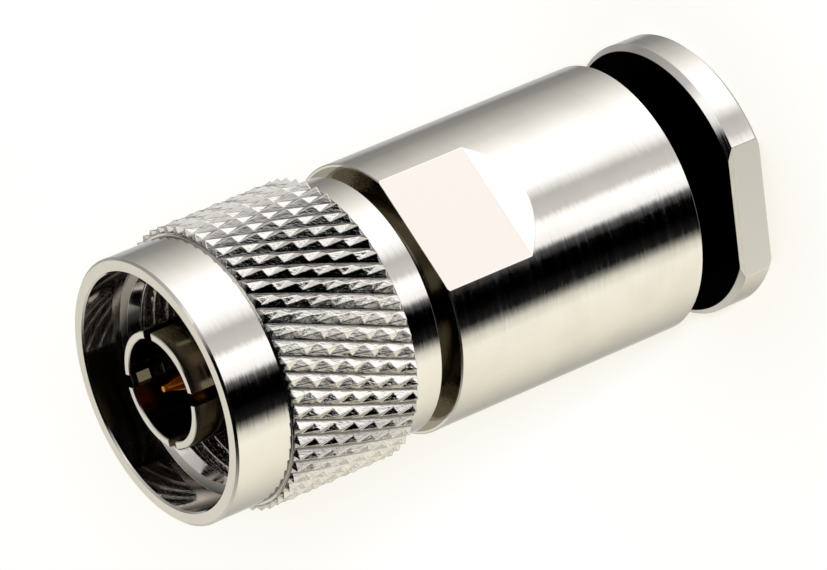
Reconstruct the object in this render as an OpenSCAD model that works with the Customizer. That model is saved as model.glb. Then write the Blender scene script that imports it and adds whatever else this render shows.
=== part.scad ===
// N type coaxial plug with a clamped cable entry, for a 10.3 mm cable.
// It stands on the rear face of its clamp nut, with its open mouth up, and its axis is +Z.

/* [Coupling nut] */
// Length of the coupling nut from its front rim to its rear edge
nut_length = 16.5; // [14.5:0.1:20]
// Diameter of the smooth ring in front of the knurl
nut_front_d = 18.4; // [18:0.05:18.7]
// Diameter of the smooth ring behind the knurl
nut_rear_d = 17.9; // [17.5:0.05:18.6]
// Length of the smooth front ring
nut_front_len = 4.3; // [3.5:0.1:6]
// Chamfer on the outer edges of the nut
nut_edge = 0.16; // [0.05:0.01:0.4]
// Diameter of the plain bore behind the front rim
rim_bore_d = 16.4; // [16.1:0.05:17.2]
// Depth of the plain bore behind the front rim
rim_bore_depth = 3.0; // [1:0.1:4]
// Chamfer on the inner edge of the front rim
rim_edge = 0.12; // [0.05:0.01:0.3]

/* [Coupling thread] */
// Major diameter of the coupling thread
thread_major_d = 15.88; // [15.8:0.01:16]
// Minor diameter of the coupling thread
thread_minor_d = 14.8; // [14.6:0.05:15.2]
// Width of the land at the minor diameter in front of the thread
thread_land = 1.0; // [0.5:0.1:1.5]
// Length of the threaded bore and its undercut
thread_length = 7.9; // [6:0.1:7.9]

/* [Knurl] */
// Diameter over the points of the knurl
knurl_d = 19.6; // [19.4:0.05:20]
// Length of the knurled band
knurl_length = 9.75; // [8:0.05:10]
// Number of teeth around the knurl
knurl_teeth = 53; // [40:1:60]
// Number of diamonds along the knurl
knurl_rows = 6; // [4:1:7]
// Depth of the main right-hand grooves
groove_depth = 0.42; // [0.3:0.01:0.45]
// Depth of the shallower left-hand grooves
cross_depth = 0.28; // [0.15:0.01:0.29]
// Helix angle of the main grooves
groove_helix = 22.3; // [15:0.1:30]
// Turn of the whole pattern about the axis
knurl_turn = 6.4; // [0:0.1:7]
// Length of the bevel at each end of the knurl
knurl_bevel = 0.2; // [0.05:0.01:0.3]
// Depth to which the knurled band is let into the nut's wall
knurl_seat = 0.35; // [0.2:0.05:0.5]

/* [Barrel] */
// Diameter of the barrel
barrel_d = 18.85; // [18.4:0.05:20]
// Length of the barrel
barrel_length = 19.85; // [19.2:0.05:24]
// Chamfer on the two ends of the barrel
barrel_edge = 0.08; // [0.05:0.01:0.3]
// Distance across the two wrench flats of the barrel
flat_across = 16.65; // [16.3:0.05:17.5]
// Length of the level part of each wrench flat
flat_length = 6.75; // [5:0.05:8]
// Length of the slope from each flat up to the barrel
flat_ramp = 1.65; // [1:0.05:3]
// Angle of the first wrench flat about the axis
flat_angle = 0; // [0:0.5:180]
// Diameter of the neck that carries the coupling nut
neck_d = 14.0; // [13.8:0.05:14.2]
// Gap between the coupling nut and the barrel
neck_gap = 1.15; // [0.5:0.05:1.6]
// Distance from the front rim back to the front face of the neck
neck_recess = 10.7; // [9.8:0.05:11.4]
// Diameter of the rear bore that takes the clamp nut
clamp_bore_d = 15.2; // [15.1:0.05:15.6]
// Chamfer at the mouth of the rear bore
clamp_bore_edge = 0.4; // [0.1:0.05:0.6]
// Diameter of the chamber in front of the rear bore
chamber_d = 12.8; // [12.4:0.05:13.1]
// Depth of the chamber
chamber_depth = 5.8; // [5.7:0.05:5.9]
// How far the chamber reaches past the barrel's front into the neck
chamber_reach = 0.65; // [0.4:0.05:0.9]

/* [Retaining ring] */
// Bore of the split retaining ring
ring_bore_d = 12.9; // [12.7:0.05:13.1]
// Outer diameter of the split retaining ring
ring_d = 15.1; // [14.8:0.05:15.3]
// Width of the retaining ring along the axis
ring_width = 0.9; // [0.6:0.05:1.1]
// Width of the split in the retaining ring
ring_split = 2.0; // [1:0.1:4]
// Distance from the nut's rear edge to the middle of the ring
ring_setback = 2.1; // [1.6:0.05:2.4]

/* [Contacts] */
// Outer diameter of the slotted outer contact
outer_contact_d = 8.13; // [7.9:0.01:8.3]
// Bore of the outer contact
outer_contact_bore_d = 7.0; // [6.8:0.01:7.2]
// Diameter of the outer contact's root inside the gasket
contact_root_d = 8.6; // [8.4:0.05:9]
// Distance from the front rim back to the outer contact's tip
outer_contact_recess = 0.43; // [0:0.01:1.2]
// Width of the four slots in the outer contact
slot_width = 0.9; // [0.3:0.05:1.2]
// Length of the four slots
slot_length = 6.5; // [4:0.1:7.5]
// Angle of the first slot about the axis
slot_angle = 49.5; // [0:0.5:90]
// Diameter of the outer contact's shank in the neck
shank_d = 9.2; // [9:0.05:9.8]
// Diameter of the collar that stops the shank
collar_d = 10.6; // [10.2:0.05:11]
// Thickness of that collar
collar_t = 1.1; // [0.8:0.05:1.4]
// Chamfer on the tips of the outer contact's fingers
finger_edge = 0.08; // [0.02:0.01:0.15]
// Distance from the front rim back to the tip of the pin
pin_recess = 0.7; // [0.2:0.05:1.5]
// Diameter of the pin
pin_d = 1.65; // [1.6:0.01:1.7]
// Diameter of the flat on the tip of the pin
pin_tip_d = 0.4; // [0.2:0.05:0.9]
// Length of the taper at the tip of the pin
pin_taper = 2.2; // [1:0.1:3.5]
// Length of the pin in front of its shoulder
pin_length = 5.6; // [4.5:0.1:7]
// Diameter of the centre contact behind the pin
centre_d = 3.04; // [2.9:0.02:3.2]
// Diameter of the flange on the centre contact
centre_flange_d = 4.4; // [3.8:0.1:5]
// Thickness of that flange
centre_flange_t = 0.4; // [0.3:0.05:0.5]
// Length of the solder cup behind the rear insulator
cup_length = 3.6; // [3:0.1:4.5]
// Bore of the solder cup
cup_bore_d = 2.4; // [2.2:0.05:2.5]
// Diameter of the solder hole in the side of the cup
cup_hole_d = 1.1; // [0.6:0.1:1.4]

/* [Insulators] */
// Length of the front insulator
front_insulator_length = 5.6; // [4:0.1:5.7]
// Thickness of the rear insulator
rear_insulator_t = 1.6; // [1:0.05:1.8]

/* [Interface gasket] */
// Outer diameter of the gasket on the neck's front face
gasket_d = 13.4; // [12.5:0.1:13.8]
// Thickness of that gasket
gasket_t = 1.2; // [0.8:0.05:1.5]

/* [Cable clamp] */
// Diameter of the pieces that slide in the rear bore
clamp_piece_d = 14.6; // [14.4:0.05:14.8]
// Thickness of the braid clamp's flange
braid_flange_t = 1.2; // [0.8:0.05:1.3]
// Length of the braid clamp's nose
braid_nose_length = 4.2; // [3.5:0.05:4.3]
// Diameter of the nose at the flange
braid_nose_d = 11.8; // [11:0.05:12]
// Diameter of the nose at its tip
braid_tip_d = 9.4; // [8.8:0.05:10]
// Bore of the braid clamp, which passes the cable's insulation
braid_bore_d = 7.6; // [7.3:0.05:8]
// Thickness of each washer
washer_t = 0.7; // [0.5:0.05:0.75]
// Length of the rubber cable gasket
cable_gasket_length = 3.5; // [2.5:0.1:3.6]
// Bore of the cable gasket, which grips the cable's jacket
cable_gasket_bore_d = 10.5; // [10.3:0.05:10.8]

/* [Clamp nut] */
// How far the clamp nut's flange stands out past the barrel all round
flange_proud = 0.175; // [0:0.005:0.4]
// Thickness of the flange
flange_t = 2.65; // [2:0.05:4]
// Distance across the two wrench flats of the flange
flange_across = 16.65; // [16.3:0.05:18]
// Angle of the first flat of the flange about the axis
flange_angle = 131; // [0:0.5:180]
// Width of the flange's front chamfer, measured across the axis
flange_front_width = 0.4; // [0.2:0.05:0.8]
// Length of the flange's front chamfer along the axis
flange_front_edge = 0.4; // [0.1:0.05:0.6]
// Chamfer on the rear edge of the flange
flange_rear_edge = 0.28; // [0.1:0.02:0.4]
// Gap left between the flange and the barrel
clamp_gap = 3.55; // [3.5:0.05:4.2]
// Length of the threaded neck in front of the flange
clamp_neck_length = 8.25; // [8.2:0.05:9]
// Depth of the clamp nut's thread, whose core is the neck
clamp_thread_depth = 0.54; // [0.3:0.01:0.6]
// Length of the full-width lead at the front of the threaded neck
clamp_lead = 1.2; // [1:0.1:2]
// Bore that takes the cable
cable_bore_d = 11.0; // [10.6:0.05:11.4]
// Chamfer at the mouth of the cable bore
cable_mouth_edge = 0.6; // [0.2:0.05:1]
// Chamfer at the front end of the threaded neck
clamp_lead_edge = 0.35; // [0.1:0.05:0.4]

/* [Clearances] */
// Radial running clearance of the coupling nut on the neck
nut_clear = 0.06; // [0.02:0.01:0.1]
// Clearance of the retaining ring in its grooves
ring_clear = 0.1; // [0.05:0.01:0.15]
// Radial clearance of the clamp nut's thread in the rear bore
clamp_clear = 0.05; // [0.02:0.01:0.1]
// Clearance of the pieces that are pressed or seated in each other
seat_clear = 0.02; // [0.01:0.01:0.03]

/* [Hidden] */
$fn = 96;
overcut = 1;

// Stations along the axis, from the standing face upwards
barrel_z0 = flange_t + clamp_gap;
barrel_z1 = barrel_z0 + barrel_length;
nut_z0 = barrel_z1 + neck_gap;
nut_z1 = nut_z0 + nut_length;
neck_z1 = nut_z1 - neck_recess;
ring_z = nut_z0 + ring_setback;
chamber_z1 = barrel_z1 + chamber_reach;
clamp_bore_z1 = chamber_z1 - chamber_depth;
collar_z1 = chamber_z1 + collar_t;
outer_tip_z = nut_z1 - outer_contact_recess;
pin_tip_z = nut_z1 - pin_recess;
pin_shoulder_z = pin_tip_z - pin_length;
rear_insulator_z0 = chamber_z1 - rear_insulator_t - seat_clear;
centre_flange_z0 = chamber_z1 + seat_clear;
centre_flange_z1 = centre_flange_z0 + centre_flange_t;
front_insulator_z0 = centre_flange_z1 + seat_clear;
cup_z0 = rear_insulator_z0 - cup_length;

// Stations of the knurl, counted from the front rim
knurl_z1 = nut_z1 - nut_front_len;
knurl_z0 = knurl_z1 - knurl_length;

// The stack that the clamp nut carries on its neck
clamp_neck_z1 = flange_t + clamp_neck_length;
rear_washer_z0 = clamp_neck_z1;
cable_gasket_z0 = rear_washer_z0 + washer_t;
front_washer_z0 = cable_gasket_z0 + cable_gasket_length;
braid_clamp_z0 = front_washer_z0 + washer_t;

// Knurl lattice: the main grooves climb right-handed, and the cross grooves left-handed
knurl_r = knurl_d / 2;
knurl_pitch = (knurl_length - 2 * knurl_bevel) / knurl_rows;
main_rate = tan(groove_helix) / knurl_r * 180 / PI;
flank_share = (groove_depth - cross_depth) / (2 * groove_depth);
ridge_share = cross_depth / (2 * (groove_depth + cross_depth));
ridge_depth = 2 * groove_depth * ridge_share;
knurl_wall_r = nut_rear_d / 2 - knurl_seat;

// A ring with a square section between two radii
module tube(r_in, r_out, z0, z1) {
    translate([0, 0, z0]) difference() {
        cylinder(r = r_out, h = z1 - z0);
        translate([0, 0, -overcut]) cylinder(r = r_in, h = z1 - z0 + 2 * overcut);
    }
}

// Two flats cut across a round piece from z0 up to z1, with a slope of the given length below
module flats_cut(across, size, z0, z1, slope, angle) {
    deep = (size - across) / 2;
    reach = deep + overcut;
    for (turn = [0, 180]) rotate([0, 0, angle + turn])
        translate([across / 2, size, 0]) rotate([90, 0, 0])
            linear_extrude(2 * size)
                polygon([[0, z0], [reach, z0 - slope * reach / deep], [reach, z1], [0, z1]]);
}

// Knurl vertex: a counts main grooves, z is the height over the first row, depth is below the points
function knurl_point(a, z, depth) =
    let (t = knurl_turn + 360 * a / knurl_teeth + main_rate * z)
    [(knurl_r - depth) * cos(t), (knurl_r - depth) * sin(t), knurl_z0 + knurl_bevel + z];

// Vertices of one row of diamonds: its point row, two rows of groove ends and its saddle row
function knurl_row(z) = concat(
    [for (m = [0:knurl_teeth - 1], k = [0, 1]) knurl_point(m + k / 2, z, k == 0 ? groove_depth : 0)],
    [for (m = [0:knurl_teeth - 1])
        knurl_point(m - flank_share, z + flank_share * knurl_pitch, cross_depth)],
    [for (m = [0:knurl_teeth - 1], k = [0:3])
        knurl_point(m + [0, 0.5 - ridge_share, 0.5, 0.5 + ridge_share][k], z + knurl_pitch / 2,
            [groove_depth, ridge_depth, cross_depth, ridge_depth][k])],
    [for (m = [0:knurl_teeth - 1])
        knurl_point(m + flank_share, z + (1 - flank_share) * knurl_pitch, cross_depth)]);

// Ring of plain vertices that closes an end or the inside of the knurled band
function knurl_ring(z, depth) = [for (i = [0:2 * knurl_teeth - 1]) knurl_point(i / 2, z, depth)];

// Faces of one row of diamonds, whose first vertex has index b
function knurl_row_faces(b) = let (n = knurl_teeth) [for (m = [0:n - 1])
    let (w = (m + 1) % n,
        g = b + 2 * m, p = g + 1, gw = b + 2 * w,
        lw = b + 2 * n + w,
        s = b + 3 * n + 4 * m, sw = b + 3 * n + 4 * w,
        h = b + 7 * n + m,
        G = b + 8 * n + 2 * m, P = G + 1, Gw = b + 8 * n + 2 * w)
    each [[g, s, p], [p, s, s + 1], [p, s + 1, s + 2], [lw, p, s + 2],
        [gw, p, lw], [lw, s + 2, s + 3], [gw, lw, s + 3], [gw, s + 3, sw],
        [Gw, sw, P], [P, sw, s + 3], [P, s + 3, s + 2], [h, P, s + 2],
        [G, P, h], [h, s + 2, s + 1], [G, h, s + 1], [G, s + 1, s]]];

// Faces between two rings of vertices, the first below the second as seen from outside
function knurl_strip(lower, upper) = let (n = 2 * knurl_teeth) [for (i = [0:n - 1])
    let (j = (i + 1) % n)
    each [[lower + i, upper + i, lower + j], [lower + j, upper + i, upper + j]]];

// The knurled band: a ring whose outer face is cut into diamonds by the two sets of grooves
module knurled_band() {
    span = knurl_rows * knurl_pitch;
    wall = knurl_r - knurl_wall_r;
    ring = 2 * knurl_teeth;
    last = 8 * knurl_teeth * knurl_rows;
    top = last + ring;
    points = concat(
        [for (i = [0:knurl_rows - 1]) each knurl_row(i * knurl_pitch)],
        knurl_ring_row(span),
        knurl_ring(span + knurl_bevel, groove_depth),
        knurl_ring(span + knurl_bevel, wall),
        knurl_ring(-knurl_bevel, wall),
        knurl_ring(-knurl_bevel, groove_depth));
    faces = concat(
        [for (i = [0:knurl_rows - 1]) each knurl_row_faces(8 * knurl_teeth * i)],
        knurl_strip(last, top),
        knurl_strip(top, top + ring),
        knurl_strip(top + ring, top + 2 * ring),
        knurl_strip(top + 2 * ring, top + 3 * ring),
        knurl_strip(top + 3 * ring, 0));
    polyhedron(points, faces, convexity = 10);
}

// The last row of points of the knurl
function knurl_ring_row(z) =
    [for (m = [0:knurl_teeth - 1], k = [0, 1]) knurl_point(m + k / 2, z, k == 0 ? groove_depth : 0)];

// Coupling nut: front rim, bore for the thread, knurled grip and the rear lip on the neck
module coupling_nut() color([0.80, 0.78, 0.75]) {
    core_step_z = knurl_z0 + knurl_bevel + knurl_pitch / 2;
    land_z1 = nut_z1 - rim_bore_depth;
    thread_z1 = land_z1 - thread_land;
    lip_z1 = thread_z1 - thread_length;
    lip_r = neck_d / 2 + nut_clear;
    groove_r = ring_d / 2 + ring_clear;
    groove_half = ring_width / 2 + ring_clear;
    minor_r = thread_minor_d / 2;
    major_r = thread_major_d / 2;
    rotate_extrude() polygon([
        [lip_r, nut_z0], [lip_r, ring_z - groove_half], [groove_r, ring_z - groove_half],
        [groove_r, ring_z + groove_half], [lip_r, ring_z + groove_half], [lip_r, lip_z1],
        [major_r, lip_z1], [major_r, thread_z1], [minor_r, thread_z1], [minor_r, land_z1],
        [rim_bore_d / 2, land_z1], [rim_bore_d / 2, nut_z1 - rim_edge],
        [rim_bore_d / 2 + rim_edge, nut_z1], [nut_front_d / 2 - nut_edge, nut_z1],
        [nut_front_d / 2, nut_z1 - nut_edge], [nut_front_d / 2, core_step_z],
        [nut_rear_d / 2, core_step_z], [nut_rear_d / 2, nut_z0 + nut_edge],
        [nut_rear_d / 2 - nut_edge, nut_z0]]);
    knurled_band();
}

// Split ring that sits in the neck's groove and holds the coupling nut on
module retaining_ring() color([0.70, 0.62, 0.42]) {
    difference() {
        tube(ring_bore_d / 2, ring_d / 2, ring_z - ring_width / 2, ring_z + ring_width / 2);
        translate([0, -ring_split / 2, ring_z - ring_width])
            cube([ring_d, ring_split, 2 * ring_width]);
    }
}

// Flat gasket between the mating plugs, on the front face of the neck
module interface_gasket() color([0.62, 0.26, 0.18]) {
    tube(contact_root_d / 2 + seat_clear, gasket_d / 2, neck_z1, neck_z1 + gasket_t);
}

// Barrel: the neck in front, the wrench flats, and the stepped bores
module barrel() color([0.82, 0.80, 0.77]) {
    groove_half = ring_width / 2 + ring_clear;
    shank_r = shank_d / 2 + seat_clear;
    collar_r = collar_d / 2 + seat_clear;
    difference() {
        rotate_extrude() polygon([
            [clamp_bore_d / 2 + clamp_bore_edge, barrel_z0], [barrel_d / 2 - barrel_edge, barrel_z0],
            [barrel_d / 2, barrel_z0 + barrel_edge], [barrel_d / 2, barrel_z1 - barrel_edge],
            [barrel_d / 2 - barrel_edge, barrel_z1], [neck_d / 2, barrel_z1],
            [neck_d / 2, ring_z - groove_half], [ring_bore_d / 2 - ring_clear, ring_z - groove_half],
            [ring_bore_d / 2 - ring_clear, ring_z + groove_half], [neck_d / 2, ring_z + groove_half],
            [neck_d / 2, neck_z1], [shank_r, neck_z1], [shank_r, collar_z1],
            [collar_r, collar_z1], [collar_r, chamber_z1], [chamber_d / 2, chamber_z1],
            [chamber_d / 2, clamp_bore_z1], [clamp_bore_d / 2, clamp_bore_z1],
            [clamp_bore_d / 2, barrel_z0 + clamp_bore_edge]]);
        flats_cut(flat_across, barrel_d, barrel_z1 - flat_length, barrel_z1 + overcut,
            flat_ramp, flat_angle);
    }
}

// Outer contact: four spring fingers in front, a shank in the neck and a collar behind it
module outer_contact() color([0.82, 0.80, 0.77]) {
    slot_z0 = outer_tip_z - slot_length;
    root_z1 = neck_z1 + gasket_t;
    difference() {
        rotate_extrude() polygon([
            [outer_contact_bore_d / 2, chamber_z1 + seat_clear], [collar_d / 2, chamber_z1 + seat_clear],
            [collar_d / 2, collar_z1 - seat_clear], [shank_d / 2, collar_z1 - seat_clear],
            [shank_d / 2, neck_z1 - seat_clear], [contact_root_d / 2, neck_z1 - seat_clear],
            [contact_root_d / 2, root_z1], [outer_contact_d / 2, root_z1],
            [outer_contact_d / 2, outer_tip_z - finger_edge],
            [outer_contact_d / 2 - finger_edge, outer_tip_z],
            [outer_contact_bore_d / 2 + finger_edge, outer_tip_z],
            [outer_contact_bore_d / 2, outer_tip_z - finger_edge]]);
        for (turn = [0, 90]) rotate([0, 0, slot_angle + turn])
            translate([-outer_contact_d, -slot_width / 2, slot_z0])
                cube([2 * outer_contact_d, slot_width, slot_length + overcut]);
    }
}

// Front insulator: a bush that holds the centre contact in the outer contact
module front_insulator() color([0.93, 0.92, 0.88]) {
    tube(centre_d / 2 + seat_clear, outer_contact_bore_d / 2 - seat_clear, front_insulator_z0,
        front_insulator_z0 + front_insulator_length);
}

// Centre contact: tapered pin, shoulder, flange between the insulators and a solder cup
module centre_contact() color([0.85, 0.62, 0.25]) {
    difference() {
        rotate_extrude() polygon([
            [0, cup_z0], [centre_d / 2, cup_z0], [centre_d / 2, centre_flange_z0],
            [centre_flange_d / 2, centre_flange_z0], [centre_flange_d / 2, centre_flange_z1],
            [centre_d / 2, centre_flange_z1], [centre_d / 2, pin_shoulder_z],
            [pin_d / 2, pin_shoulder_z], [pin_d / 2, pin_tip_z - pin_taper],
            [pin_tip_d / 2, pin_tip_z], [0, pin_tip_z]]);
        translate([0, 0, cup_z0 - overcut]) cylinder(d = cup_bore_d, h = cup_length + overcut);
        translate([0, 0, cup_z0 + cup_length / 2]) rotate([0, 90, 0])
            cylinder(d = cup_hole_d, h = centre_d, $fn = 48);
    }
}

// Rear insulator: a disc that closes the chamber behind the centre contact's flange
module rear_insulator() color([0.93, 0.92, 0.88]) {
    tube(centre_d / 2 + seat_clear, chamber_d / 2 - seat_clear, rear_insulator_z0,
        rear_insulator_z0 + rear_insulator_t);
}

// Braid clamp: a flange with a tapered nose, over which the cable's braid is folded
module braid_clamp() color([0.80, 0.78, 0.75]) {
    flange_z1 = braid_clamp_z0 + braid_flange_t;
    rotate_extrude() polygon([
        [braid_bore_d / 2, braid_clamp_z0], [clamp_piece_d / 2, braid_clamp_z0],
        [clamp_piece_d / 2, flange_z1], [braid_nose_d / 2, flange_z1],
        [braid_tip_d / 2, flange_z1 + braid_nose_length],
        [braid_bore_d / 2, flange_z1 + braid_nose_length]]);
}

// Washer that keeps the turning nut from twisting the gasket
module clamp_washer(z0) {
    tube(cable_bore_d / 2, clamp_piece_d / 2, z0, z0 + washer_t);
}

// Washer between the braid clamp and the cable gasket
module front_washer() color([0.80, 0.78, 0.75]) clamp_washer(front_washer_z0);

// Rubber gasket that grips the cable's jacket, with a V groove in each face
module cable_gasket() color([0.08, 0.08, 0.08]) {
    z1 = cable_gasket_z0 + cable_gasket_length;
    middle = (cable_gasket_bore_d + clamp_piece_d) / 4;
    groove = (clamp_piece_d - cable_gasket_bore_d) / 8;
    rotate_extrude() polygon([
        [cable_gasket_bore_d / 2, cable_gasket_z0], [middle - groove, cable_gasket_z0],
        [middle, cable_gasket_z0 + groove], [middle + groove, cable_gasket_z0],
        [clamp_piece_d / 2, cable_gasket_z0], [clamp_piece_d / 2, z1],
        [middle + groove, z1], [middle, z1 - groove], [middle - groove, z1],
        [cable_gasket_bore_d / 2, z1]]);
}

// Washer on the front face of the clamp nut
module rear_washer() color([0.80, 0.78, 0.75]) clamp_washer(rear_washer_z0);

// Clamp nut: a flange with two wrench flats and a threaded neck that screws into the barrel
module clamp_nut() color([0.80, 0.78, 0.75]) {
    neck_r = clamp_bore_d / 2 - clamp_clear;
    core_r = neck_r - clamp_thread_depth;
    lead_z0 = clamp_neck_z1 - clamp_lead;
    flange_d = barrel_d + 2 * flange_proud;
    face_r = flange_d / 2 - flange_front_width;
    difference() {
        rotate_extrude() polygon([
            [cable_bore_d / 2 + cable_mouth_edge, 0], [flange_d / 2 - flange_rear_edge, 0],
            [flange_d / 2, flange_rear_edge], [flange_d / 2, flange_t - flange_front_edge],
            [face_r, flange_t], [core_r, flange_t], [core_r, lead_z0 - clamp_lead_edge],
            [neck_r, lead_z0], [neck_r, clamp_neck_z1 - clamp_lead_edge],
            [neck_r - clamp_lead_edge, clamp_neck_z1], [cable_bore_d / 2, clamp_neck_z1],
            [cable_bore_d / 2, cable_mouth_edge]]);
        flats_cut(flange_across, flange_d, -overcut, flange_t + overcut, 0, flange_angle);
    }
}

coupling_nut();
retaining_ring();
interface_gasket();
barrel();
outer_contact();
front_insulator();
centre_contact();
rear_insulator();
braid_clamp();
front_washer();
cable_gasket();
rear_washer();
clamp_nut();
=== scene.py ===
import logging
import math
from dataclasses import dataclass
from enum import Enum
from typing import Dict, List, Optional, Sequence, Tuple

import bmesh
import bpy
from mathutils import Matrix, Quaternion, Vector


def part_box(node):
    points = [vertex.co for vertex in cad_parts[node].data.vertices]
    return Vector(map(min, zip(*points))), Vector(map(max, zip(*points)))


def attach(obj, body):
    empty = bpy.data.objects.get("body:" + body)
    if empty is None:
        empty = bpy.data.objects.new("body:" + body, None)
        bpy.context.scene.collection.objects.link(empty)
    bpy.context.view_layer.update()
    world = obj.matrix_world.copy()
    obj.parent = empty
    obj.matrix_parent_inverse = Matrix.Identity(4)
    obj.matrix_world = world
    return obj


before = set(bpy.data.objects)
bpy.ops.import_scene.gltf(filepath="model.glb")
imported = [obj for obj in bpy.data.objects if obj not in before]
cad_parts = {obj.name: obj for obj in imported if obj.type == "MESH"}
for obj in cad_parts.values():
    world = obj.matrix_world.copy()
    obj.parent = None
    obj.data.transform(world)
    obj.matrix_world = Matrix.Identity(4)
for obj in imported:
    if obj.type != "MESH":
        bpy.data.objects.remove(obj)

log = logging.getLogger("plug")
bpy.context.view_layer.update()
MM = 0.001
MICRON = 1e-6
TINY_MM = 0.01
Colour = Tuple[float, float, float]


class Region(Enum):
    """Surfaces of the plug that look different from its turned and plated faces; two members mark no finish,
    only painted shade on the plating.
    """

    KNURL = "rolled"
    FLAT = "milled"
    GAP_SHADE = "painted black shade"
    PAINTED_SHADE = "painted shade"
    BORED = "bored"
    LEAD_IN = "chamfered"


# --------------------------------------------------------------------------- node helpers


class Nodes:
    """Builds a node tree, and links whatever it is given by socket or by plain value."""

    def __init__(self, tree: bpy.types.NodeTree) -> None:
        """Starts on an empty tree.

        Args:
            tree: the material's, world's or group's node tree.
        """
        self.tree = tree

    def add(self, kind: str, inputs: Optional[dict] = None, **settings: object) -> bpy.types.Node:
        """Adds a node.

        Args:
            kind: the node's type name, without its leading word.
            inputs: socket name or number to a value, or to a socket to link from.
            settings: the node's own settings.

        Returns:
            The new node.
        """
        node = self.tree.nodes.new(kind)
        for key, value in settings.items():
            setattr(node, key, value)
        for key, value in (inputs or {}).items():
            if isinstance(value, bpy.types.NodeSocket):
                self.tree.links.new(value, node.inputs[key])
            else:
                node.inputs[key].default_value = value
        return node

    def math(self, operation: str, *values: object, clamp: bool = False) -> bpy.types.NodeSocket:
        """Adds a Math node.

        Args:
            operation: the operation's name.
            values: its inputs, numbers or sockets.
            clamp: whether the result is kept between 0 and 1.

        Returns:
            The node's output socket.
        """
        node = self.add("ShaderNodeMath", dict(enumerate(values)), operation=operation, use_clamp=clamp)
        return node.outputs[0]

    def step(self, value: object, low: float, high: float) -> bpy.types.NodeSocket:
        """A smooth rise from 0 at low to 1 at high.

        Args:
            value: the socket that is tested.
            low: where the rise starts.
            high: where it ends, below low for a fall.

        Returns:
            The output socket.
        """
        node = self.add(
            "ShaderNodeMapRange",
            {"Value": value, "From Min": low, "From Max": high},
            interpolation_type="SMOOTHSTEP",
        )
        return node.outputs["Result"]

    def mix(self, factor: object, low: object, high: object) -> bpy.types.NodeSocket:
        """Mixes two colours.

        Args:
            factor: the share of the second colour.
            low: the colour at factor 0.
            high: the colour at factor 1.

        Returns:
            The output socket.
        """
        node = self.add("ShaderNodeMix", data_type="RGBA")
        for index, value in ((0, factor), (6, low), (7, high)):
            if isinstance(value, bpy.types.NodeSocket):
                self.tree.links.new(value, node.inputs[index])
            else:
                node.inputs[index].default_value = value if index == 0 else (*value, 1.0)
        return node.outputs[2]

    def group(self, tree: bpy.types.NodeTree, values: Optional[Dict[str, float]] = None) -> bpy.types.Node:
        """Places a node group.

        Args:
            tree: the group.
            values: its input values by name.

        Returns:
            The group's node.
        """
        node = self.add("ShaderNodeGroup", node_tree=tree)
        for label, value in (values or {}).items():
            node.inputs[label].default_value = value
        return node

    def vector(self, operation: str, *values: object, **scale: object) -> bpy.types.NodeSocket:
        """Adds a vector calculation.

        Args:
            operation: the calculation's name.
            values: its vectors.
            scale: its Scale, where the calculation has one.

        Returns:
            The resulting vector.
        """
        inputs = {**dict(enumerate(values)), **scale}
        return self.add("ShaderNodeVectorMath", inputs, operation=operation).outputs[0]

    def turn(self, factor: object, low: object, high: object) -> bpy.types.NodeSocket:
        """Mixes two normals, with the arguments of mix()."""
        node = self.add("ShaderNodeMix", data_type="VECTOR")
        for index, value in ((0, factor), (4, low), (5, high)):
            self.tree.links.new(value, node.inputs[index])
        return node.outputs[1]

    def noise(
        self, where: object, scale: object = 1.0, detail: float = 2.0, roughness: float = 0.5
    ) -> bpy.types.NodeSocket:
        """Adds a noise.

        Args:
            where: the place at which it is read.
            scale: how fine it is.
            detail: how many finer layers it has.
            roughness: how strong those layers are.

        Returns:
            Its value, from 0 to 1.
        """
        inputs = {"Vector": where, "Scale": scale, "Detail": detail, "Roughness": roughness}
        return self.add("ShaderNodeTexNoise", inputs).outputs["Fac"]

    def blend(self, factor: object, low: object, high: object) -> bpy.types.NodeSocket:
        """Mixes two plain values, with the arguments of mix()."""
        node = self.add("ShaderNodeMix", {0: factor, 2: low, 3: high}, data_type="FLOAT")
        return node.outputs[0]

    def ramp(self, factor: object, stops: Sequence[Tuple[float, Colour]]) -> bpy.types.NodeSocket:
        """Adds a colour ramp.

        Args:
            factor: the socket that picks the colour.
            stops: pairs of a place from 0 to 1 and a colour.

        Returns:
            The colour socket.
        """
        node = self.add("ShaderNodeValToRGB", {"Fac": factor})
        elements = node.color_ramp.elements
        while len(elements) < len(stops):
            elements.new(1.0)
        for element, (place, colour) in zip(elements, stops):
            element.position = place
            element.color = (*colour, 1.0)
        return node.outputs["Color"]


def new_group(
    name: str, inputs: Dict[str, float], outputs: Sequence[str], vectors: Sequence[str] = ()
) -> Tuple[Nodes, dict, bpy.types.Node]:
    """Starts a shader node group with named sockets.

    Args:
        name: the group's name.
        inputs: input names with their default values.
        outputs: names of the values that it puts out.
        vectors: names of the vectors that it puts out.

    Returns:
        The builder, the input sockets by name, and the group's output node.
    """
    tree = bpy.data.node_groups.new(name, "ShaderNodeTree")
    for label, value in inputs.items():
        tree.interface.new_socket(label, in_out="INPUT", socket_type="NodeSocketFloat").default_value = value
    for label in outputs:
        tree.interface.new_socket(label, in_out="OUTPUT", socket_type="NodeSocketFloat")
    for label in vectors:
        tree.interface.new_socket(label, in_out="OUTPUT", socket_type="NodeSocketVector")
    nodes = Nodes(tree)
    source = nodes.add("NodeGroupInput")
    return nodes, {label: source.outputs[label] for label in inputs}, nodes.add("NodeGroupOutput")


# --------------------------------------------------------------------------- shared effects


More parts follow.
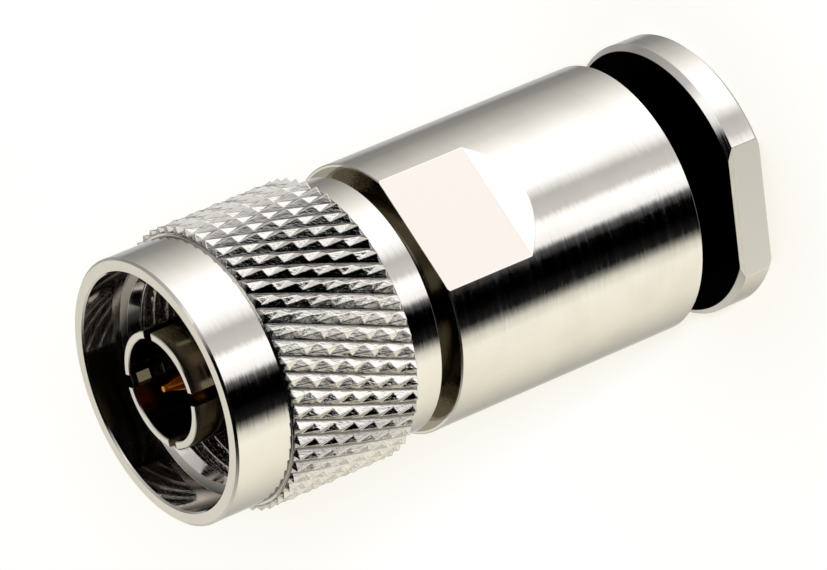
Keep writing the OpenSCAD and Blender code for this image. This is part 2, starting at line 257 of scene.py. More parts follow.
class Effects:
    """Node groups that several finishes share, each built once."""

    def __init__(self) -> None:
        """Builds every group."""
        self.lathe = self._lathe_lines()
        self.haze = self._haze()
        self.zone = self._zone()
        self.milled = self._milled_lines()
        self.rolled = self._rolled_skin()

    @staticmethod
    def _place(nodes: Nodes) -> Tuple[bpy.types.NodeSocket, ...]:
        """Object place in millimetres as x, y, z and the distance from the axis."""
        where = nodes.add("ShaderNodeTexCoord").outputs["Object"]
        x, y, z = nodes.add("ShaderNodeSeparateXYZ", {0: nodes.vector("SCALE", where, Scale=1 / MM)}).outputs
        squares = nodes.math("ADD", nodes.math("MULTIPLY", x, x), nodes.math("MULTIPLY", y, y))
        return x, y, z, nodes.math("SQRT", squares)

    def _lathe_lines(self) -> bpy.types.NodeTree:
        """Fine rings left by the lathe and the polishing belt.

        They follow z and the radius, and break up along the ring. Height is their depth, Streak is high
        on the duller ones, and Lean turns the surface a little about the axis from one to the next.
        """
        given = {"Lines per mm": 14.0, "Break up": 1.6, "Lean": 0.1}
        nodes, given, out = new_group("lathe_lines", given, ("Height", "Streak"), ("Lean",))
        x, y, z, r = self._place(nodes)
        radius_share, broad_share = 1.7, 0.16
        sway_size = (0.45, 1.6, 0.0)
        path = nodes.math("ADD", z, nodes.math("MULTIPLY", r, radius_share))
        along = nodes.math("MULTIPLY", path, given["Lines per mm"])
        turn = nodes.math("MULTIPLY", nodes.math("ARCTAN2", y, x), given["Break up"])
        spot = nodes.add("ShaderNodeCombineXYZ", {0: along, 1: turn, 2: 0.0}).outputs[0]
        fine = nodes.noise(spot, detail=3.0, roughness=0.65)
        broad = nodes.noise(nodes.vector("SCALE", spot, Scale=broad_share), detail=2.0)
        nodes.tree.links.new(fine, out.inputs["Height"])
        streak = nodes.math("MULTIPLY", fine, nodes.math("ADD", broad, 0.5))
        nodes.tree.links.new(nodes.step(streak, 0.35, 0.8), out.inputs["Streak"])
        sway = nodes.noise(nodes.vector("MULTIPLY", spot, sway_size), detail=3.0, roughness=0.7)
        amount = nodes.math("MULTIPLY", nodes.math("SUBTRACT", sway, 0.5), given["Lean"])
        share = nodes.math("DIVIDE", amount, nodes.math("ADD", r, TINY_MM))
        around = nodes.add("ShaderNodeCombineXYZ", {0: nodes.math("MULTIPLY", y, -1.0), 1: x, 2: 0.0})
        nodes.tree.links.new(nodes.vector("SCALE", around.outputs[0], Scale=share), out.inputs["Lean"])
        return nodes.tree

    def _haze(self) -> bpy.types.NodeTree:
        """Cloudy patches and small specks of a plated or moulded surface."""
        nodes, given, out = new_group("haze", {"Patch mm": 4.0, "Speck mm": 0.12}, ("Patch", "Speck"))
        where = nodes.add("ShaderNodeTexCoord").outputs["Object"]
        for label, socket, detail in (("Patch", "Patch mm", 3.0), ("Speck", "Speck mm", 1.0)):
            scale = nodes.math("DIVIDE", 1 / MM, given[socket])
            nodes.tree.links.new(nodes.noise(where, scale, detail), out.inputs[label])
        return nodes.tree

    def _zone(self) -> bpy.types.NodeTree:
        """A mask that is 1 between two heights and inside a radius, and the slope of a lead-in there."""
        given = {"Low mm": 0.0, "High mm": 1.0, "Radius mm": 9.0}
        nodes, given, out = new_group("zone", given, ("Mask",), ("Lead in",))
        x, y, z, r = self._place(nodes)
        sharpness, lead_in, lead_up = 25.0, 0.6, 0.96
        mask: object = 1.0
        for larger, smaller in ((z, given["Low mm"]), (given["High mm"], z), (given["Radius mm"], r)):
            inside = nodes.math("SUBTRACT", larger, smaller)
            edge = nodes.math("MULTIPLY_ADD", inside, sharpness, 0.5, clamp=True)
            mask = nodes.math("MULTIPLY", mask, edge)
        nodes.tree.links.new(mask, out.inputs["Mask"])
        share = nodes.math("DIVIDE", -lead_in, nodes.math("ADD", r, TINY_MM))
        inward = {0: nodes.math("MULTIPLY", x, share), 1: nodes.math("MULTIPLY", y, share), 2: lead_up}
        nodes.tree.links.new(nodes.add("ShaderNodeCombineXYZ", inward).outputs[0], out.inputs["Lead in"])
        return nodes.tree

    def _rolled_skin(self) -> bpy.types.NodeTree:
        """Uneven skin that the knurling rolls leave, drawn out along the main grooves, and a mask of the
        groove bottoms, where shade is painted.
        """
        given = {"Turn per mm": 0.04184, "Bump mm": 0.3, "Groove mm": 9.38}
        nodes, given, out = new_group("rolled_skin", given, ("Height", "Groove shade"))
        x, y, z, r = self._place(nodes)
        drawn_out = 0.45
        twist = nodes.math("MULTIPLY", z, given["Turn per mm"])
        sine, cosine = nodes.math("SINE", twist), nodes.math("COSINE", twist)
        across = nodes.math("ADD", nodes.math("MULTIPLY", x, cosine), nodes.math("MULTIPLY", y, sine))
        beside = nodes.math("SUBTRACT", nodes.math("MULTIPLY", y, cosine), nodes.math("MULTIPLY", x, sine))
        turned = {0: across, 1: beside, 2: nodes.math("MULTIPLY", z, drawn_out)}
        spot = nodes.add("ShaderNodeCombineXYZ", turned).outputs[0]
        bumps = nodes.noise(spot, nodes.math("DIVIDE", 1.0, given["Bump mm"]), detail=3.0, roughness=0.55)
        nodes.tree.links.new(bumps, out.inputs["Height"])
        # A mask that is 1 at the radius of the groove bottoms, which get painted shade.
        deep = nodes.math("SUBTRACT", r, given["Groove mm"])
        groove_shade = nodes.math("MULTIPLY", nodes.step(deep, 0.10, 0.02), nodes.step(deep, -0.08, -0.03))
        nodes.tree.links.new(groove_shade, out.inputs["Groove shade"])
        return nodes.tree

    def _milled_lines(self) -> bpy.types.NodeTree:
        """Straight, shallow cutter marks across a wrench flat."""
        nodes, given, out = new_group("milled_lines", {"Lines per mm": 9.0}, ("Height",))
        _, y, z, _ = self._place(nodes)
        across = nodes.math("MULTIPLY", z, given["Lines per mm"])
        spot = nodes.add("ShaderNodeCombineXYZ", {0: across, 1: nodes.math("MULTIPLY", y, 0.5), 2: 0.0})
        nodes.tree.links.new(nodes.noise(spot.outputs[0]), out.inputs["Height"])
        return nodes.tree


# --------------------------------------------------------------------------- finishes

NICKEL: Colour = (0.84, 0.805, 0.77)
NICKEL_HAZE: Colour = (0.79, 0.755, 0.715)
# Painted reflection: a pinkish tint for the barrel's wrench flat, which is plated like the rest.
BARREL_FLAT_REFLECTION: Colour = (0.79, 0.725, 0.685)
# Painted highlight: a lighter, pinkish colour for the clamp nut's flats, which are plated like the rest.
CLAMP_FLAT_REFLECTION: Colour = (0.94, 0.905, 0.90)
# Painted shade: darker colours for the barrel's shoulder and neck, which are plated like the rest.
SHOULDER_SHADE: Colour = (0.40, 0.37, 0.31)
NECK_SHADE: Colour = (0.14, 0.125, 0.09)
# Painted shade: a darker colour for the outside of the outer contact, deep in the bore.
CONTACT_SHADE: Colour = (0.22, 0.185, 0.135)
# Near black, painted as shade into the bottoms of the knurl's grooves.
GROOVE_SHADE: Colour = (0.05, 0.045, 0.04)
# Painted shade: black for the clamp nut's faces in the gap behind the barrel.
GAP_SHADE: Colour = (0.0, 0.0, 0.0)


@dataclass(frozen=True)
class Patch:
    """A place on a turned piece that has another surface.

    Args:
        region: what the surface is.
        low: its lowest z in mm.
        high: its highest z in mm.
        radius: its largest radius in mm.
        colour: its colour, where it differs, which the script uses for painted shade and painted reflections.
    """

    region: Region
    low: float
    high: float
    radius: float = 20.0
    colour: Optional[Colour] = None


@dataclass
class Look:
    """What a material is made of while it is built, with its relief in micrometres."""

    colour: object
    rough: object
    relief: object
    normal: object


@dataclass(frozen=True)
class Plate:
    """A bright plated metal, turned on a lathe.

    Args:
        name: the material's name.
        colour: the metal's colour.
        haze: its colour in the cloudier patches.
        roughness: the smoothest and the roughest streak.
        line_um: depth of the lathe lines in micrometres.
        lines_per_mm: how close together they lie.
        lean: how far the lines turn the surface about the axis, as a slope.
        edge_mm: radius to which the edges look rounded.
        worn_mm: the same on rolled teeth.
        rolled_um: depth of the bumps on rolled teeth in micrometres.
        rolled_rough: their roughness.
        groove_shade: how strongly shade is painted into the bottoms of their grooves, from 0 to 1.
        milled_rough: roughness of the wrench flats.
        speck_um: depth of the specks on them in micrometres.
        gap_shade_rough: roughness of the faces painted black as shade.
        patches: places with another surface.
    """

    name: str
    colour: Colour
    haze: Colour
    roughness: Tuple[float, float]
    line_um: float = 1.2
    lines_per_mm: float = 14.0
    lean: float = 0.05
    edge_mm: float = 0.03
    worn_mm: float = 0.13
    rolled_um: float = 55.0
    rolled_rough: float = 0.06
    groove_shade: float = 0.7
    milled_rough: float = 0.22
    speck_um: float = 1.5
    gap_shade_rough: float = 0.35
    patches: Tuple[Patch, ...] = ()

    def build(self, effects: Effects) -> bpy.types.Material:
        """Builds the material.

        Args:
            effects: the shared node groups.

        Returns:
            The material.
        """
        material = bpy.data.materials.new(self.name)
        material.use_nodes = True
        nodes = Nodes(material.node_tree)
        shader = material.node_tree.nodes["Principled BSDF"]
        shader.inputs["Metallic"].default_value = 1.0
        shader.inputs["Specular Tint"].default_value = (0.5, 0.5, 0.5, 1.0)
        lathe = nodes.group(effects.lathe, {"Lines per mm": self.lines_per_mm, "Lean": self.lean}).outputs
        haze = nodes.group(effects.haze).outputs
        bevel = nodes.add("ShaderNodeBevel", {"Radius": self.edge_mm * MM}, samples=6).outputs[0]
        look = Look(
            colour=nodes.mix(nodes.step(haze["Patch"], 0.4, 0.75), self.colour, self.haze),
            rough=nodes.blend(lathe["Streak"], *self.roughness),
            relief=nodes.math("MULTIPLY", lathe["Height"], self.line_um),
            normal=nodes.vector("ADD", bevel, lathe["Lean"]),
        )
        for patch in self.patches:
            limits = {"Low mm": patch.low, "High mm": patch.high, "Radius mm": patch.radius}
            self._lay(nodes, effects, look, patch, nodes.group(effects.zone, limits).outputs, bevel)
        unit = nodes.vector("NORMALIZE", look.normal)
        relief = {"Height": look.relief, "Distance": MICRON, "Strength": 1.0, "Normal": unit}
        bump = nodes.add("ShaderNodeBump", relief)
        links = material.node_tree.links
        links.new(look.colour, shader.inputs["Base Color"])
        links.new(look.rough, shader.inputs["Roughness"])
        links.new(bump.outputs[0], shader.inputs["Normal"])
        return material

    def _lay(
        self,
        nodes: Nodes,
        effects: Effects,
        look: Look,
        patch: Patch,
        zone: Dict[str, bpy.types.NodeSocket],
        smooth: bpy.types.NodeSocket,
    ) -> None:
        """Lays one patch's surface over the look.

        Args:
            nodes: the material's nodes.
            effects: the shared node groups.
            look: the look so far, which is changed.
            patch: where the patch is and what it is made of.
            zone: the patch's mask, 1 where it is, and the slope of a lead-in.
            smooth: the normal without any lines.
        """
        region, mask = patch.region, zone["Mask"]
        if patch.colour:
            look.colour = nodes.mix(mask, look.colour, patch.colour)
        if region is Region.KNURL:
            rolled = nodes.group(effects.rolled).outputs
            bumps = nodes.math("MULTIPLY", rolled["Height"], self.rolled_um)
            look.relief = nodes.blend(mask, look.relief, bumps)
            look.rough = nodes.blend(mask, look.rough, self.rolled_rough)
            worn = nodes.add("ShaderNodeBevel", {"Radius": self.worn_mm * MM}, samples=8).outputs[0]
            look.normal = nodes.turn(mask, look.normal, worn)
            # Painted shade: the bottoms of the knurl's grooves are darkened.
            groove_shade = nodes.math("MULTIPLY", nodes.math("MULTIPLY", rolled["Groove shade"], mask), self.groove_shade)
            look.colour = nodes.mix(groove_shade, look.colour, GROOVE_SHADE)
        elif region is Region.FLAT:
            speck = nodes.group(effects.haze).outputs["Speck"]
            cuts = nodes.group(effects.milled).outputs["Height"]
            relief = nodes.math("ADD", cuts, nodes.math("MULTIPLY", speck, self.speck_um))
            look.relief = nodes.blend(mask, look.relief, relief)
            look.rough = nodes.blend(mask, look.rough, self.milled_rough)
            look.normal = nodes.turn(mask, look.normal, smooth)
        elif region is Region.GAP_SHADE:
            # Painted shade: the patch turns black and a little rougher.
            look.colour = nodes.mix(mask, look.colour, GAP_SHADE)
            look.rough = nodes.blend(mask, look.rough, self.gap_shade_rough)
        elif region is Region.BORED:
            look.relief = nodes.blend(mask, look.relief, 0.0)
            look.normal = nodes.turn(mask, look.normal, smooth)
        elif region is Region.LEAD_IN:
            slope = nodes.vector("ADD", smooth, zone["Lead in"])
            look.normal = nodes.turn(mask, look.normal, slope)


@dataclass(frozen=True)
class Moulding:
    """A rubber or plastic: a plain colour with patches, specks and a grainy skin.

    Args:
        name: the material's name.
        colour: its main colour.
        patch: its colour in the patches.
        roughness: the smooth and the rough limit.
        grain_um: depth of the grain in micrometres.
    """

    name: str
    colour: Colour
    patch: Colour
    roughness: Tuple[float, float]
    grain_um: float = 4.0

    def build(self, effects: Effects) -> bpy.types.Material:
        """Builds the material.

        Args:
            effects: the shared node groups.

        Returns:
            The material.
        """
        material = bpy.data.materials.new(self.name)
        material.use_nodes = True
        nodes = Nodes(material.node_tree)
        shader = material.node_tree.nodes["Principled BSDF"]
        haze = nodes.group(effects.haze, {"Patch mm": 2.0})
        links = material.node_tree.links
        links.new(nodes.mix(haze.outputs["Patch"], self.colour, self.patch), shader.inputs["Base Color"])
        links.new(nodes.blend(haze.outputs["Speck"], *self.roughness), shader.inputs["Roughness"])
        height = nodes.math("MULTIPLY", haze.outputs["Speck"], self.grain_um)
        bump = nodes.add("ShaderNodeBump", {"Height": height, "Distance": MICRON, "Strength": 1.0})
        links.new(bump.outputs[0], shader.inputs["Normal"])
        return material


# --------------------------------------------------------------------------- threads


@dataclass
class ThreadRidge:
    """The ridge of a screw thread, swept as a right-hand helix about the plug's axis.

    Args:
        name: the piece's name.
        body: the body it turns with.
        slot: the record's material slot, which is not used.
        root_mm: radius at which the ridge stands on its wall.
        crest_mm: radius of its crest.
        pitch_mm: rise in one turn.
        from_mm: height at which it starts.
        to_mm: height at which it ends.
        start_deg: azimuth at which it starts.
        sink_mm: how far its root is let into the wall.
    """

    name: str
    body: str
    slot: str
    root_mm: float
    crest_mm: float
    pitch_mm: float
    from_mm: float
    to_mm: float
    start_deg: float = 0.0
    sink_mm: float = 0.04
    steps_per_turn: int = 72

    def section(self) -> List[Tuple[float, float]]:
        """The ridge's section as radius and height: a 60 degree tooth with a flat crest."""
        way = 1.0 if self.crest_mm > self.root_mm else -1.0
        foot = self.root_mm - way * self.sink_mm
        crest = self.pitch_mm / 8
        root = crest + abs(self.crest_mm - foot) * math.tan(math.radians(30))
        return [(foot, -root), (self.crest_mm, -crest), (self.crest_mm, crest), (foot, root)]

    def build(self, material: bpy.types.Material) -> bpy.types.Object:
        """Sweeps the section, fades the lower end into the wall and closes both ends.

        Args:
            material: the finish of the piece that carries the thread.

        Returns:
            The finished piece.
        """
        bm = bmesh.new()
        section = [bm.verts.new((r * MM, 0.0, z * MM)) for r, z in self.section()]
        edges = [bm.edges.new((a, b)) for a, b in zip(section, section[1:] + section[:1])]
        turns = (self.to_mm - self.from_mm) / self.pitch_mm
        steps = round(turns * self.steps_per_turn)
        rise = (self.to_mm - self.from_mm) / steps
        bmesh.ops.spin(
            bm,
            geom=section + edges,
            cent=(0.0, 0.0, 0.0),
            axis=(0.0, 0.0, 1.0),
            dvec=(0.0, 0.0, rise * MM),
            angle=turns * math.tau,
            steps=steps,
            use_merge=False,
            use_duplicate=False,
        )
        bmesh.ops.holes_fill(bm, edges=[e for e in bm.edges if e.is_boundary], sides=4)
        fade = 0.4 * self.pitch_mm
        foot = self.section()[0][0]
        for vert in bm.verts:
            height = vert.co.z / MM
            share = min(1.0, max(0.0, (height + self.pitch_mm / 2) / fade))
            radius = math.hypot(vert.co.x, vert.co.y) / MM
            scale = (foot + (radius - foot) * share) / radius
            vert.co.x *= scale
            vert.co.y *= scale
        bmesh.ops.recalc_face_normals(bm, faces=bm.faces)
        bmesh.ops.transform(
            bm,
            matrix=Matrix.Translation((0.0, 0.0, self.from_mm * MM))
            @ Matrix.Rotation(math.radians(self.start_deg), 4, "Z"),
            verts=bm.verts,
        )
        mesh = bpy.data.meshes.new(self.name)
        bm.to_mesh(mesh)
        bm.free()
        mesh.materials.append(material)
        piece = bpy.data.objects.new(self.name, mesh)
        bpy.context.scene.collection.objects.link(piece)
        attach(piece, self.body)
        return piece


# --------------------------------------------------------------------------- the plug's assemblies


def dress(node: str, material: bpy.types.Material) -> None:
    """Gives a CAD node its finish.

    Args:
        node: the node's name.
        material: its material.
    """
    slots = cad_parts[node].data.materials
    slots.clear()
    slots.append(material)
    log.info("%s: %s", node, material.name)


@dataclass
class CouplingNut:
    """The knurled nut with its internal thread."""

    effects: Effects
    pitch_mm: float = 1.058
    thread_root_mm: float = 7.94
    thread_crest_mm: float = 7.40
    land_below_rim_mm: float = 4.0
    thread_length_mm: float = 6.9
    land_height_mm: float = 1.0
    bore_mm: float = 8.25
    knurl_from_rim_mm: float = 4.30
    knurl_length_mm: float = 9.75

    def build(self) -> None:
        """Dresses the nut and cuts its thread's ridge."""
        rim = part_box("coupling_nut")[1].z / MM
        top = rim - self.knurl_from_rim_mm
        land = rim - self.land_below_rim_mm
        plate = Plate(
            name="nickel_coupling",
            colour=NICKEL,
            haze=NICKEL_HAZE,
            roughness=(0.05, 0.16),
            patches=(
                Patch(Region.KNURL, top - self.knurl_length_mm, top),
                Patch(Region.BORED, land, rim - 0.05, self.bore_mm),
                Patch(Region.LEAD_IN, land, land + self.land_height_mm + 0.03, self.bore_mm),
            ),
        ).build(self.effects)
        dress("coupling_nut", plate)
        ridge = ThreadRidge(
            name="coupling_thread",
            body="coupling",
            slot="nickel",
            root_mm=self.thread_root_mm,
            crest_mm=self.thread_crest_mm,
            pitch_mm=self.pitch_mm,
            from_mm=land - self.thread_length_mm,
            to_mm=land + 0.2,
            start_deg=10.0,
        )
        ridge.build(plate)
        log.info("coupling thread: %.2f mm pitch", self.pitch_mm)


@dataclass
class Barrel:
    """The barrel with its neck, wrench flats and the rings that sit on it."""

    effects: Effects
    shoulder_mm: float = 26.05
    flat_length_mm: float = 6.75
    neck_length_mm: float = 7.0

    def build(self) -> None:
        """Dresses the barrel, its ring and its gasket."""
        top = self.shoulder_mm
        neck_top = top + self.neck_length_mm
        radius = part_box("barrel")[1].x / MM - 0.02
        plate = Plate(
            name="nickel_barrel",
            colour=NICKEL,
            haze=NICKEL_HAZE,
            roughness=(0.05, 0.18),
            patches=(
                # The flat's pinkish colour is a painted reflection.
                Patch(Region.FLAT, top - self.flat_length_mm, top - 0.02, radius, BARREL_FLAT_REFLECTION),
                # The shoulder and the neck are coloured darker: painted shade.
                Patch(Region.PAINTED_SHADE, top - 0.03, neck_top, radius - 0.2, SHOULDER_SHADE),
                Patch(Region.PAINTED_SHADE, top + 0.03, neck_top, radius - 0.2, NECK_SHADE),
            ),
        )
        dress("barrel", plate.build(self.effects))
        bronze = Plate("bronze_ring", (0.62, 0.46, 0.26), (0.50, 0.36, 0.2), (0.2, 0.4))
        dress("retaining_ring", bronze.build(self.effects))
        # The gasket's red is darkened nearly to black: painted shade for the bottom of the bore.
        gasket = Moulding("red_silicone", (0.05, 0.014, 0.010), (0.035, 0.010, 0.008), (0.55, 0.75))
        dress("interface_gasket", gasket.build(self.effects))


@dataclass
class Contacts:
    """The outer contact, the pin and the insulators between them."""

    effects: Effects
    bright_end_mm: float = 0.06

    def build(self) -> None:
        """Dresses the contacts and the insulators."""
        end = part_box("outer_contact")[1].z / MM
        # All but the front end of the outer contact is coloured darker: painted shade.
        painted_shade = Patch(Region.PAINTED_SHADE, 0.0, end - self.bright_end_mm, colour=CONTACT_SHADE)
        silver = Plate("nickel_contact", NICKEL, NICKEL_HAZE, (0.10, 0.24), line_um=0.8, patches=(painted_shade,))
        dress("outer_contact", silver.build(self.effects))
        gold = Plate("gold_plate", (0.80, 0.33, 0.06), (0.62, 0.22, 0.035), (0.12, 0.24), line_um=0.5)
        dress("centre_contact", gold.build(self.effects))
        satin = Moulding("ptfe_satin", (0.86, 0.85, 0.82), (0.80, 0.79, 0.75), (0.36, 0.5), grain_um=2.0)
        ptfe = satin.build(self.effects)
        dress("front_insulator", ptfe)
        dress("rear_insulator", ptfe)


@dataclass
class CableClamp:
    """The clamp nut with its thread, and the stack that it presses on the cable."""

    effects: Effects
    pitch_mm: float = 1.0
    flange_mm: float = 2.65
    neck_mm: float = 7.55
    core_mm: float = 7.01
    lead_mm: float = 9.35
    dark_radius_mm: float = 9.2
    flange_radius_mm: float = 9.57
    chamfer_mm: float = 0.42

    def build(self) -> None:
        """Dresses the clamp's pieces and makes the nut's thread."""
        plate = Plate(
            name="nickel_clamp_nut",
            colour=NICKEL,
            haze=NICKEL_HAZE,
            roughness=(0.07, 0.20),
            line_um=0.8,
            patches=(
                # The flats' lighter, pinkish colour is a painted highlight.
                Patch(Region.FLAT, 0.02, self.flange_mm - self.chamfer_mm, self.flange_radius_mm, CLAMP_FLAT_REFLECTION),
                # The flange's front face and the neck in the gap to the barrel are painted black: painted
                # shade, not a finish.
                Patch(Region.GAP_SHADE, self.flange_mm - 0.02, 40.0, self.dark_radius_mm),
            ),
        ).build(self.effects)
        dress("clamp_nut", plate)
        ThreadRidge(
            name="clamp_thread",
            body="clamp",
            slot="nickel",
            root_mm=self.core_mm,
            crest_mm=self.neck_mm - 0.01,
            pitch_mm=self.pitch_mm,
            from_mm=self.flange_mm + 0.55,
            to_mm=self.lead_mm + 0.2,
        ).build(plate)
        stack = Plate("nickel_clamp_stack", (0.80, 0.78, 0.745), (0.73, 0.70, 0.66), (0.14, 0.3))
        plain = stack.build(self.effects)
        for node in ("braid_clamp", "front_washer", "rear_washer"):
            dress(node, plain)
        rubber = Moulding("rubber_ring", (0.022, 0.022, 0.022), (0.035, 0.034, 0.033), (0.5, 0.72))
        dress("cable_gasket", rubber.build(self.effects))


# --------------------------------------------------------------------------- studio and camera

GREEN_LOSS = 0.12


@dataclass(frozen=True)
class Ring:
    """A ring of panels round the plug: each is an azimuth, a brightness and a warmth.

    Args:
        low: the height, as a sine, at which it starts to take over from the ring below.
        high: the height, as a sine, at which it has taken over.
        panels: azimuth in degrees, brightness, and warmth from 0 to 1.
    """

    low: float
    high: float
    panels: Tuple[Tuple[float, float, float], ...]

    def stops(self, top: float) -> List[Tuple[float, Colour]]:
        """The ring's colour stops.

        Args:
            top: the brightest level, which a colour of 1 stands for.

        Returns:
            Pairs of a share of the full turn and a colour.
        """
        found = []
        for azimuth, level, warmth in self.panels:
            green, blue = 1 - GREEN_LOSS * warmth, 1 - warmth
            share = level / top
            found.append((azimuth / 360 + 0.5, (share, share * green, share * blue)))
        return found


UNDER = Ring(
    -1.0,
    -0.98,
    (
        (-180, 0.75, 0.1),
        (-125, 0.90, 0.1),
        (-95, 0.85, 0.1),
        (-62, 0.55, 0.0),
        (-26, 1.20, 0.0),
        (14, 1.38, 0.0),
        (50, 1.20, 0.0),
        (90, 0.80, 0.0),
        (140, 0.75, 0.0),
        (180, 0.75, 0.1),
    ),
)
LOW = Ring(
    -0.80,
    -0.66,
    (
        (-180, 1.00, 0.10),
        (-165, 0.90, 0.12),
        (-150, 0.90, 0.15),
        (-127, 1.00, 0.17),
        (-105, 1.04, 0.16),
        (-88, 1.08, 0.13),
        (-79, 0.80, 0.15),
        (-73, 0.22, 0.1),
        (-69, 0.01, 0.0),
        (-56, 0.0, 0.0),
        (-42, 0.0, 0.0),
        (-36, 0.12, 0.0),
        (-32, 1.10, 0.0),
        (-18, 1.38, 0.0),
        (-14, 1.22, 0.0),
        (-10, 0.72, 0.04),
        (5, 0.60, 0.04),
        (12, 1.05, 0.0),
        (17, 1.36, 0.0),
        (52, 1.38, 0.0),
        (66, 1.08, 0.04),
        (80, 0.80, 0.07),
        (92, 0.62, 0.06),
        (112, 0.42, 0.05),
        (127, 0.45, 0.03),
        (136, 1.00, 0.0),
        (150, 1.12, 0.0),
        (162, 1.10, 0.03),
        (180, 1.00, 0.10),
    ),
)
BELT = Ring(
    -0.40,
    -0.27,
    (
        (-180, 1.00, 0.05),
        (-150, 0.70, 0.1),
        (-125, 0.66, 0.1),
        (-99, 0.62, 0.1),
        (-80, 0.25, 0.0),
        (-71, 0.0, 0.0),
        (-35, 0.0, 0.0),
        (-14, 0.20, 0.0),
        (14, 0.60, 0.0),
        (44, 0.80, 0.0),
        (99, 0.78, 0.0),
        (126, 0.72, 0.0),
        (150, 0.85, 0.04),
        (180, 1.00, 0.05),
    ),
)
HORIZON = Ring(
    -0.16,
    -0.05,
    (
        (-180, 1.00, 0.05),
        (-160, 0.72, 0.1),
        (-130, 0.40, 0.1),
        (-103, 0.25, 0.1),
        (-75, 0.0, 0.0),
        (-30, 0.0, 0.0),
        (-10, 0.0, 0.0),
        (12, 0.42, 0.0),
        (36, 0.78, 0.0),
        (62, 1.05, 0.0),
        (90, 0.80, 0.0),
        (118, 0.40, 0.0),
        (135, 0.62, 0.0),
        (155, 0.80, 0.04),
        (180, 1.00, 0.05),
    ),
)
HIGH = Ring(
    0.12,
    0.34,
    (
        (-180, 0.75, 0.10),
        (-150, 0.70, 0.12),
        (-128, 0.45, 0.12),
        (-108, 0.05, 0.1),
        (-95, 0.0, 0.0),
        (-4, 0.0, 0.0),
        (6, 1.0, 0.0),
        (14, 1.38, 0.0),
        (36, 1.30, 0.0),
        (55, 0.62, 0.0),
        (90, 0.36, 0.05),
        (112, 0.25, 0.05),
        (128, 0.30, 0.05),
        (142, 0.82, 0.12),
        (165, 0.88, 0.13),
        (180, 0.75, 0.10),
    ),
)
CROWN = Ring(
    0.78,
    0.90,
    (
        (-180, 0.04, 0.0),
        (-95, 0.0, 0.0),
        (-5, 0.0, 0.0),
        (15, 0.14, 0.0),
        (40, 0.14, 0.0),
        (70, 0.03, 0.0),
        (180, 0.04, 0.0),
    ),
)


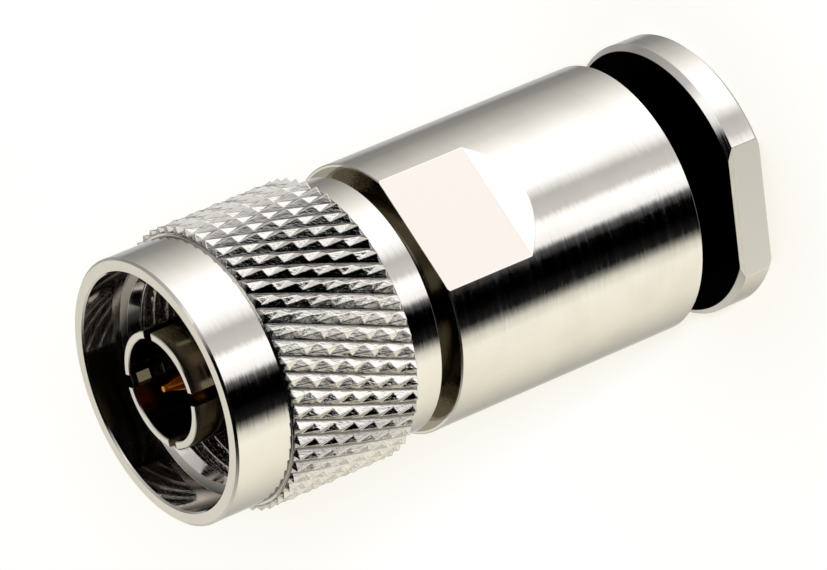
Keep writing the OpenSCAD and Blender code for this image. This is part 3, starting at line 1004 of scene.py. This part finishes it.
@dataclass
class Studio:
    """A pale floor, a soft lamp and a surround of pale panels with a dark gap towards the camera."""

    floor_radius: float = 1.6
    floor_shade: Colour = (0.55, 0.55, 0.90)
    floor_glow: Colour = (0.55, 0.53, 0.20)
    top: float = 1.4
    rings: Tuple[Ring, ...] = (UNDER, LOW, BELT, HORIZON, HIGH, CROWN)

    def surround(self) -> None:
        """Makes the world: white to the camera, panels in reflections, and even light elsewhere."""
        world = bpy.data.worlds.new("studio")
        bpy.context.scene.world = world
        world.use_nodes = True
        world.node_tree.nodes.clear()
        nodes = Nodes(world.node_tree)
        way = nodes.add("ShaderNodeTexCoord").outputs["Generated"]
        x, y, z = nodes.add("ShaderNodeSeparateXYZ", {0: way}).outputs
        azimuth = nodes.math("MULTIPLY_ADD", nodes.math("ARCTAN2", y, x), 1 / math.tau, 0.5)
        panels: Optional[bpy.types.NodeSocket] = None
        for ring in self.rings:
            stops = nodes.ramp(azimuth, ring.stops(self.top))
            panels = nodes.mix(nodes.step(z, ring.low, ring.high), panels, stops) if panels else stops
        shiny = nodes.add("ShaderNodeBackground", {"Color": panels, "Strength": self.top})
        even = nodes.add("ShaderNodeBackground", {"Color": (0.97, 0.985, 1.0, 1.0), "Strength": 0.62})
        white = nodes.add("ShaderNodeBackground", {"Color": (1.0, 1.0, 1.0, 1.0), "Strength": 1.0})
        path = nodes.add("ShaderNodeLightPath").outputs
        glossy = nodes.math("MAXIMUM", path["Is Glossy Ray"], path["Is Transmission Ray"])
        lit = nodes.add("ShaderNodeMixShader", {0: glossy, 1: even.outputs[0], 2: shiny.outputs[0]})
        shown = {0: path["Is Camera Ray"], 1: lit.outputs[0], 2: white.outputs[0]}
        seen = nodes.add("ShaderNodeMixShader", shown)
        nodes.add("ShaderNodeOutputWorld", {"Surface": seen.outputs[0]})

    def floor(self) -> None:
        """Makes the pale floor, which keeps the plug's shadow and stays out of its reflections."""
        bm = bmesh.new()
        bmesh.ops.create_circle(bm, cap_ends=True, cap_tris=False, segments=96, radius=self.floor_radius)
        mesh = bpy.data.meshes.new("floor")
        bm.to_mesh(mesh)
        bm.free()
        material = bpy.data.materials.new("pale_floor")
        material.use_nodes = True
        nodes = Nodes(material.node_tree)
        shader = material.node_tree.nodes["Principled BSDF"]
        where = nodes.add("ShaderNodeTexCoord").outputs["Object"]
        grain = nodes.add("ShaderNodeTexNoise", {"Vector": where, "Scale": 40.0, "Detail": 2.0})
        paper = nodes.mix(grain.outputs["Fac"], (0.80, 0.80, 0.77), (0.82, 0.82, 0.79))
        path = nodes.add("ShaderNodeLightPath").outputs
        seen = nodes.mix(path["Is Camera Ray"], paper, self.floor_shade)
        material.node_tree.links.new(seen, shader.inputs["Base Color"])
        shader.inputs["Roughness"].default_value = 0.9
        shader.inputs["Specular IOR Level"].default_value = 0.0
        shader.inputs["Emission Color"].default_value = (*self.floor_glow, 1.0)
        material.node_tree.links.new(path["Is Camera Ray"], shader.inputs["Emission Strength"])
        mesh.materials.append(material)
        floor = bpy.data.objects.new("floor", mesh)
        bpy.context.scene.collection.objects.link(floor)
        floor.visible_glossy = False

    def lamp(
        self, name: str, azimuth: float, elevation: float, reach: float, size: float, watts: float
    ) -> None:
        """Adds a soft square lamp that points at the plug.

        Args:
            name: the lamp's name.
            azimuth: its direction from the plug about the axis, in degrees.
            elevation: its height over the floor, in degrees.
            reach: its distance in metres.
            size: its side in metres.
            watts: its power.
        """
        data = bpy.data.lights.new(name, "AREA")
        data.size = size
        data.energy = watts
        lamp = bpy.data.objects.new(name, data)
        turn, lift = math.radians(azimuth), math.radians(elevation)
        way = Vector((math.cos(turn) * math.cos(lift), math.sin(turn) * math.cos(lift), math.sin(lift)))
        lamp.location = Vector((0.0, 0.0, 0.02)) + way * reach
        lamp.rotation_euler = (-way).to_track_quat("-Z", "Y").to_euler()
        bpy.context.scene.collection.objects.link(lamp)
        lamp.visible_glossy = False

    def build(self) -> None:
        """Makes the whole studio."""
        self.surround()
        self.floor()
        self.lamp("key", azimuth=-17.5, elevation=28.5, reach=2.0, size=0.35, watts=25.0)


@dataclass
class Viewpoint:
    """The camera, close above the plug's side and turned so that the plug lies across the view."""

    place_mm: Tuple[float, float, float] = (374.83, -135.07, 246.98)
    aim_mm: Tuple[float, float, float] = (-2.46, 0.81, 21.58)
    roll_deg: float = -112.85
    lens_mm: float = 303.2

    def build(self) -> None:
        """Adds the camera and makes it the scene's own."""
        data = bpy.data.cameras.new("camera")
        data.lens = self.lens_mm
        data.sensor_width = 36.0
        data.clip_start = 0.01
        data.clip_end = 20.0
        camera = bpy.data.objects.new("camera", data)
        place = Vector(self.place_mm) * MM
        way = Vector(self.aim_mm) * MM - place
        camera.rotation_mode = "QUATERNION"
        camera.location = place
        roll = Quaternion((0, 0, 1), math.radians(self.roll_deg))
        camera.rotation_quaternion = way.to_track_quat("-Z", "Y") @ roll
        bpy.context.scene.collection.objects.link(camera)
        bpy.context.scene.camera = camera


def main() -> None:
    """Builds the scene in order."""
    logging.basicConfig(level=logging.INFO, format="%(name)s %(message)s")
    Viewpoint().build()
    Studio().build()
    effects = Effects()
    for assembly in (CouplingNut(effects), Barrel(effects), Contacts(effects), CableClamp(effects)):
        assembly.build()
    bpy.context.scene.view_settings.view_transform = "Standard"


if __name__ == "__main__":
    main()
